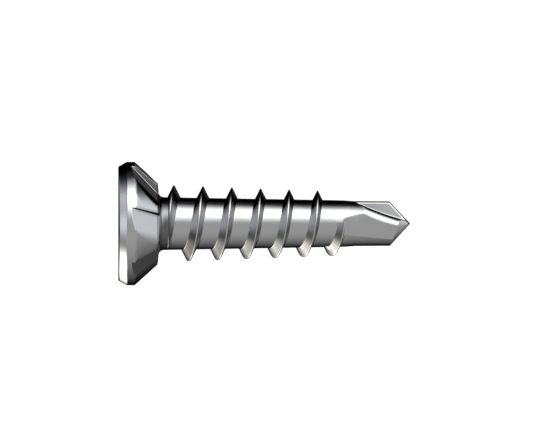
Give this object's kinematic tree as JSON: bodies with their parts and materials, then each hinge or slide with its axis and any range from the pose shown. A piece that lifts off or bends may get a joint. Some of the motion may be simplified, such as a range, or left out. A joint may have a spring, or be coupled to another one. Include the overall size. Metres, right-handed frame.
{
  "type": "self drilling screw",
  "caption": "Short steel screw with a countersunk head, milling pockets under the head, a spaced thread and a fluted drill point.",
  "frame": {"origin": "centre of the head's flat outer face", "axes": "+Z along the screw's axis from the head to the drill point; -Y is the side the picture shows"},
  "size_m": [0.0066, 0.0066, 0.016],
  "materials": {
    "bright_steel": "bright plated steel, smooth and glossy"
  },
  "bodies": {
    "root": {"screw": "bright_steel"}
  },
  "joints": []
}
